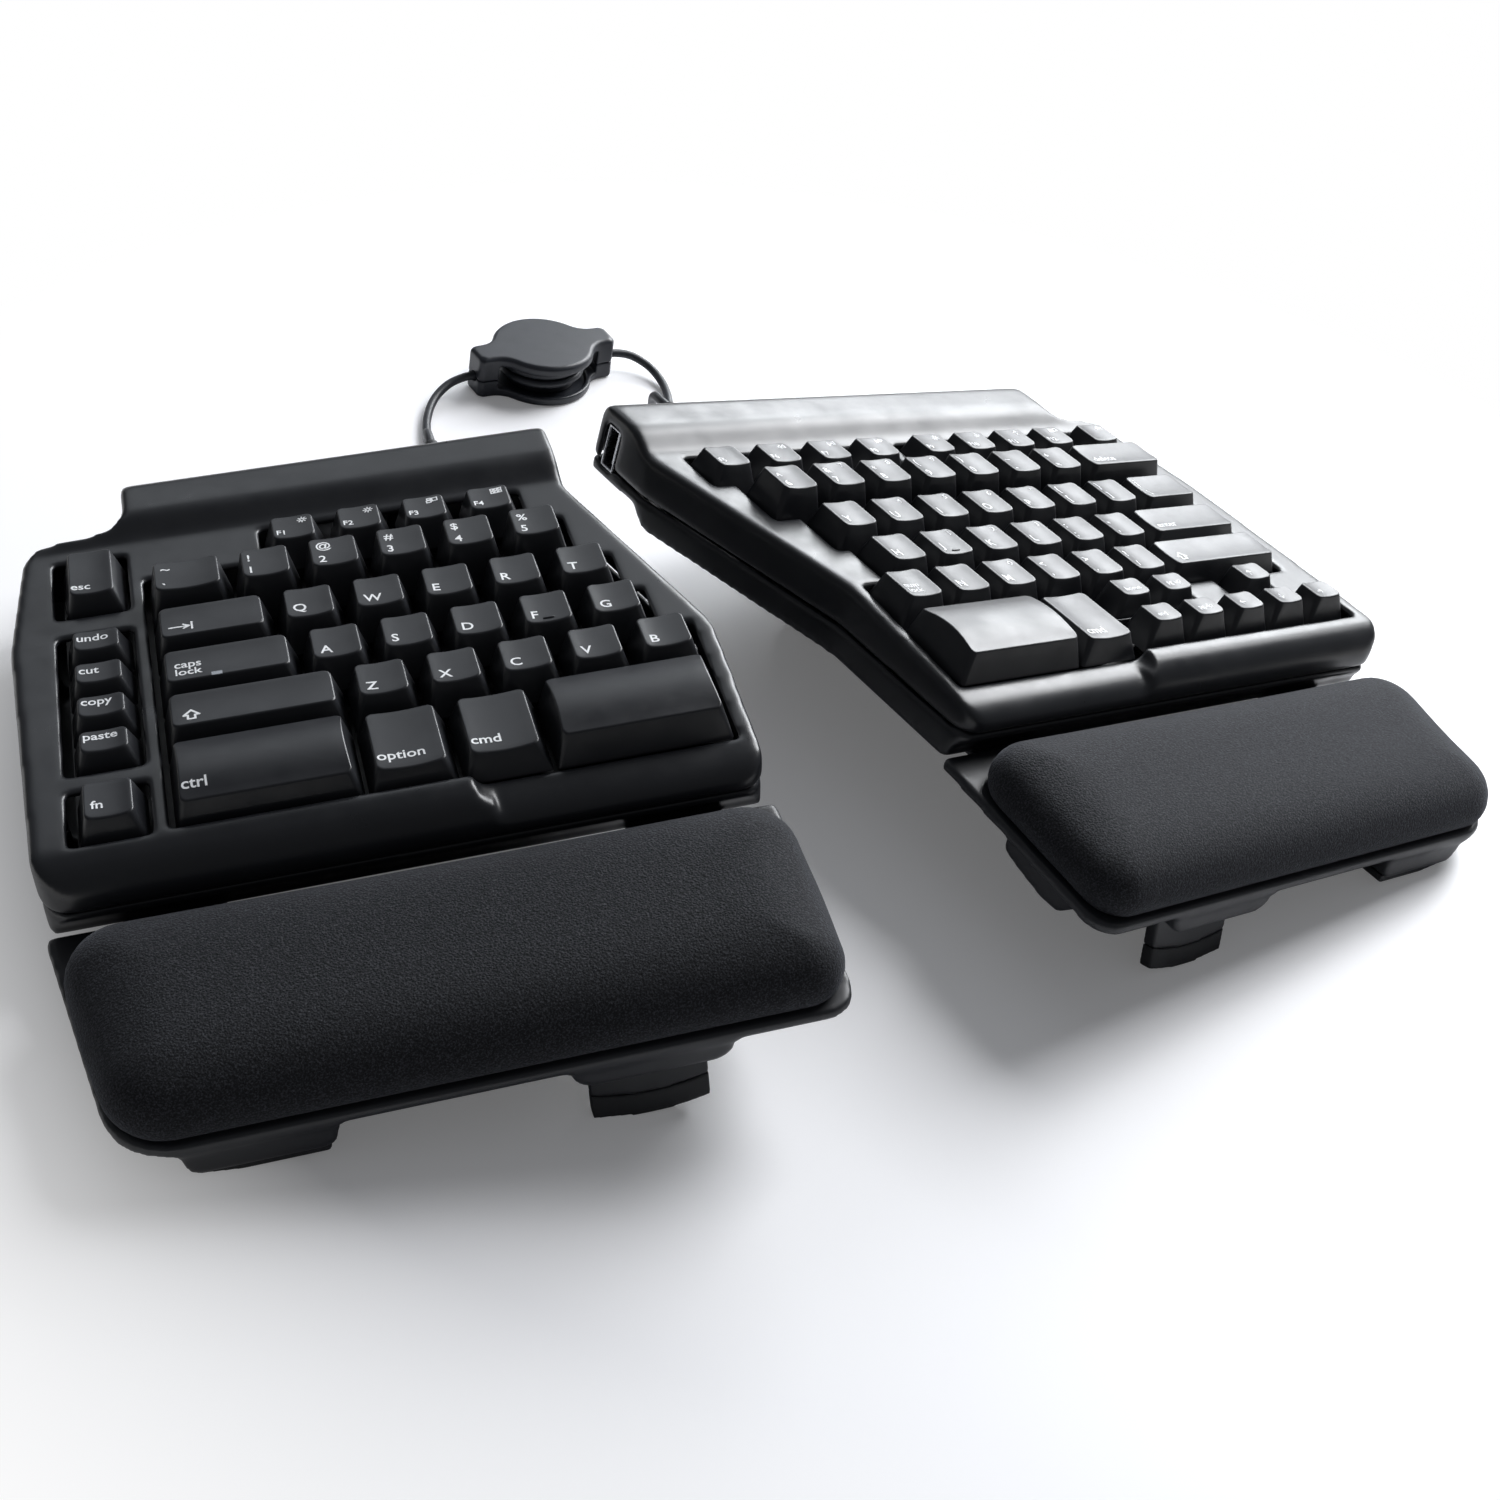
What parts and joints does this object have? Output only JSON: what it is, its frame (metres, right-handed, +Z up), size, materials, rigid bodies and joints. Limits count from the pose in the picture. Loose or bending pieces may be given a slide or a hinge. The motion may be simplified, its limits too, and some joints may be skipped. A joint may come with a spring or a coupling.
{
  "type": "ergonomic split keyboard",
  "caption": "Split computer keyboard: two tented halves with key rows, padded palm rests and folding legs, joined by a cord through a take-up reel.",
  "frame": {"origin": "on the desk, under the middle of the box around the two halves", "axes": "+X from the left half to the right half, +Y to the rear, +Z up"},
  "size_m": [0.4206, 0.3618, 0.0635],
  "materials": {
    "key_plastic": "satin black moulded key caps",
    "case_plastic": "satin black moulded case",
    "tray_plastic": "black moulded tray",
    "pad_fabric": "fine dark woven cover over foam",
    "rubber": "matte black rubber",
    "leg_plastic": "dark grey moulded leg",
    "steel": "plain steel",
    "board": "green coated circuit board",
    "switch_plastic": "black switch housings",
    "cord_jacket": "dark flexible jacket",
    "reel_plastic": "satin black moulded shell"
  },
  "bodies": {
    "left_half": {"left_top_case": "case_plastic", "left_bottom_case": "case_plastic", "left_switch_plate": "steel", "left_circuit_board": "board", "left_switches": "switch_plastic", "left_palm_tray": "tray_plastic", "left_palm_pad": "pad_fabric", "left_feet": "rubber", "left_screws": "steel", "left_leg_pins": "steel", "left_cord_gland": "rubber", "host_inlet": "steel", "left_cord": "cord_jacket"},
    "right_half": {"right_top_case": "case_plastic", "right_bottom_case": "case_plastic", "right_switch_plate": "steel", "right_circuit_board": "board", "right_switches": "switch_plastic", "right_palm_tray": "tray_plastic", "right_palm_pad": "pad_fabric", "right_feet": "rubber", "right_screws": "steel", "right_leg_pins": "steel", "right_cord_gland": "rubber", "hub_socket": "steel", "right_cord": "cord_jacket"},
    "esc_key_body": {"esc_key": "key_plastic"},
    "edit_keys_body": {"edit_keys": "key_plastic"},
    "fn_key_body": {"fn_key": "key_plastic"},
    "left_function_keys_body": {"left_function_keys": "key_plastic"},
    "left_number_keys_body": {"left_number_keys": "key_plastic"},
    "left_upper_keys_body": {"left_upper_keys": "key_plastic"},
    "left_home_keys_body": {"left_home_keys": "key_plastic"},
    "left_lower_keys_body": {"left_lower_keys": "key_plastic"},
    "left_bottom_keys_body": {"left_bottom_keys": "key_plastic"},
    "left_space_key_body": {"left_space_key": "key_plastic"},
    "right_function_keys_body": {"right_function_keys": "key_plastic"},
    "right_number_keys_body": {"right_number_keys": "key_plastic"},
    "right_upper_keys_body": {"right_upper_keys": "key_plastic"},
    "right_home_keys_body": {"right_home_keys": "key_plastic"},
    "enter_key_body": {"enter_key": "key_plastic"},
    "right_lower_keys_body": {"right_lower_keys": "key_plastic"},
    "right_space_key_body": {"right_space_key": "key_plastic"},
    "right_modifier_key_body": {"right_modifier_key": "key_plastic"},
    "navigation_keys_body": {"navigation_keys": "key_plastic"},
    "arrow_keys_body": {"arrow_keys": "key_plastic"},
    "left_front_leg_body": {"left_front_leg": "leg_plastic", "left_front_leg_tip": "rubber"},
    "left_rear_leg_body": {"left_rear_leg": "leg_plastic", "left_rear_leg_tip": "rubber"},
    "right_front_leg_body": {"right_front_leg": "leg_plastic", "right_front_leg_tip": "rubber"},
    "right_rear_leg_body": {"right_rear_leg": "leg_plastic", "right_rear_leg_tip": "rubber"},
    "reel": {"reel_top_shell": "reel_plastic", "reel_bottom_shell": "reel_plastic", "reel_spring": "steel", "reel_screw": "steel"},
    "drum": {"reel_drum": "reel_plastic", "reel_winding": "cord_jacket"}
  },
  "joints": [
    {"name": "esc_key_press", "type": "slide", "parent": "left_half", "child": "esc_key_body", "axis": [-0.1415, 0.0626, 0.988], "range_m": [-0.0035, 0], "stiffness_N_per_m": 120, "springref_m": 0.004},
    {"name": "edit_keys_press", "type": "slide", "parent": "left_half", "child": "edit_keys_body", "axis": [-0.1415, 0.0626, 0.988], "range_m": [-0.0035, 0], "stiffness_N_per_m": 120, "springref_m": 0.004},
    {"name": "fn_key_press", "type": "slide", "parent": "left_half", "child": "fn_key_body", "axis": [-0.1415, 0.0626, 0.988], "range_m": [-0.0035, 0], "stiffness_N_per_m": 120, "springref_m": 0.004},
    {"name": "left_function_keys_press", "type": "slide", "parent": "left_half", "child": "left_function_keys_body", "axis": [-0.1415, 0.0626, 0.988], "range_m": [-0.0035, 0], "stiffness_N_per_m": 120, "springref_m": 0.004},
    {"name": "left_number_keys_press", "type": "slide", "parent": "left_half", "child": "left_number_keys_body", "axis": [-0.1415, 0.0626, 0.988], "range_m": [-0.0035, 0], "stiffness_N_per_m": 120, "springref_m": 0.004},
    {"name": "left_upper_keys_press", "type": "slide", "parent": "left_half", "child": "left_upper_keys_body", "axis": [-0.1415, 0.0626, 0.988], "range_m": [-0.0035, 0], "stiffness_N_per_m": 120, "springref_m": 0.004},
    {"name": "left_home_keys_press", "type": "slide", "parent": "left_half", "child": "left_home_keys_body", "axis": [-0.1415, 0.0626, 0.988], "range_m": [-0.0035, 0], "stiffness_N_per_m": 120, "springref_m": 0.004},
    {"name": "left_lower_keys_press", "type": "slide", "parent": "left_half", "child": "left_lower_keys_body", "axis": [-0.1415, 0.0626, 0.988], "range_m": [-0.0035, 0], "stiffness_N_per_m": 120, "springref_m": 0.004},
    {"name": "left_bottom_keys_press", "type": "slide", "parent": "left_half", "child": "left_bottom_keys_body", "axis": [-0.1415, 0.0626, 0.988], "range_m": [-0.0035, 0], "stiffness_N_per_m": 120, "springref_m": 0.004},
    {"name": "left_space_key_press", "type": "slide", "parent": "left_half", "child": "left_space_key_body", "axis": [-0.1415, 0.0626, 0.988], "range_m": [-0.0035, 0], "stiffness_N_per_m": 120, "springref_m": 0.004},
    {"name": "right_function_keys_press", "type": "slide", "parent": "right_half", "child": "right_function_keys_body", "axis": [0.1415, 0.0626, 0.988], "range_m": [-0.0035, 0], "stiffness_N_per_m": 120, "springref_m": 0.004},
    {"name": "right_number_keys_press", "type": "slide", "parent": "right_half", "child": "right_number_keys_body", "axis": [0.1415, 0.0626, 0.988], "range_m": [-0.0035, 0], "stiffness_N_per_m": 120, "springref_m": 0.004},
    {"name": "right_upper_keys_press", "type": "slide", "parent": "right_half", "child": "right_upper_keys_body", "axis": [0.1415, 0.0626, 0.988], "range_m": [-0.0035, 0], "stiffness_N_per_m": 120, "springref_m": 0.004},
    {"name": "right_home_keys_press", "type": "slide", "parent": "right_half", "child": "right_home_keys_body", "axis": [0.1415, 0.0626, 0.988], "range_m": [-0.0035, 0], "stiffness_N_per_m": 120, "springref_m": 0.004},
    {"name": "enter_key_press", "type": "slide", "parent": "right_half", "child": "enter_key_body", "axis": [0.1415, 0.0626, 0.988], "range_m": [-0.0035, 0], "stiffness_N_per_m": 120, "springref_m": 0.004},
    {"name": "right_lower_keys_press", "type": "slide", "parent": "right_half", "child": "right_lower_keys_body", "axis": [0.1415, 0.0626, 0.988], "range_m": [-0.0035, 0], "stiffness_N_per_m": 120, "springref_m": 0.004},
    {"name": "right_space_key_press", "type": "slide", "parent": "right_half", "child": "right_space_key_body", "axis": [0.1415, 0.0626, 0.988], "range_m": [-0.0035, 0], "stiffness_N_per_m": 120, "springref_m": 0.004},
    {"name": "right_modifier_key_press", "type": "slide", "parent": "right_half", "child": "right_modifier_key_body", "axis": [0.1415, 0.0626, 0.988], "range_m": [-0.0035, 0], "stiffness_N_per_m": 120, "springref_m": 0.004},
    {"name": "navigation_keys_press", "type": "slide", "parent": "right_half", "child": "navigation_keys_body", "axis": [0.1415, 0.0626, 0.988], "range_m": [-0.0035, 0], "stiffness_N_per_m": 120, "springref_m": 0.004},
    {"name": "arrow_keys_press", "type": "slide", "parent": "right_half", "child": "arrow_keys_body", "axis": [0.1415, 0.0626, 0.988], "range_m": [-0.0035, 0], "stiffness_N_per_m": 120, "springref_m": 0.004},
    {"name": "left_front_leg_fold", "type": "hinge", "parent": "left_half", "child": "left_front_leg_body", "pos_m": [-0.08363, -0.11107, 0.02164], "axis": [0.9775, -0.1487, 0.1494], "range_deg": [0, 105]},
    {"name": "left_rear_leg_fold", "type": "hinge", "parent": "left_half", "child": "left_rear_leg_body", "pos_m": [-0.05364, 0.05679, 0.02269], "axis": [0.9775, -0.1487, 0.1494], "range_deg": [0, 90]},
    {"name": "right_front_leg_fold", "type": "hinge", "parent": "right_half", "child": "right_front_leg_body", "pos_m": [0.08351, -0.1063, 0.02164], "axis": [0.9775, 0.1487, -0.1494], "range_deg": [0, 105]},
    {"name": "right_rear_leg_fold", "type": "hinge", "parent": "right_half", "child": "right_rear_leg_body", "pos_m": [0.05352, 0.06155, 0.02269], "axis": [0.9775, 0.1487, -0.1494], "range_deg": [0, 90]},
    {"name": "left_reach", "type": "slide", "parent": "left_half", "child": "reel", "axis": [1, 0, 0], "range_m": [0, 0.06], "deforming": ["left_cord"]},
    {"name": "right_reach", "type": "slide", "parent": "reel", "child": "right_half", "axis": [1, 0, 0], "range_m": [0, 0.06], "deforming": ["right_cord"]},
    {"name": "drum_spin", "type": "hinge", "parent": "reel", "child": "drum", "pos_m": [0.01263, 0.21352, 0], "axis": [0, 0, 1], "range_deg": [0, 270]}
  ],
  "couplings": [
    {"joint": "right_reach", "follows": "left_reach", "ratio": 1},
    {"joint": "drum_spin", "follows": "left_reach", "rad_per_m": 70.373}
  ]
}
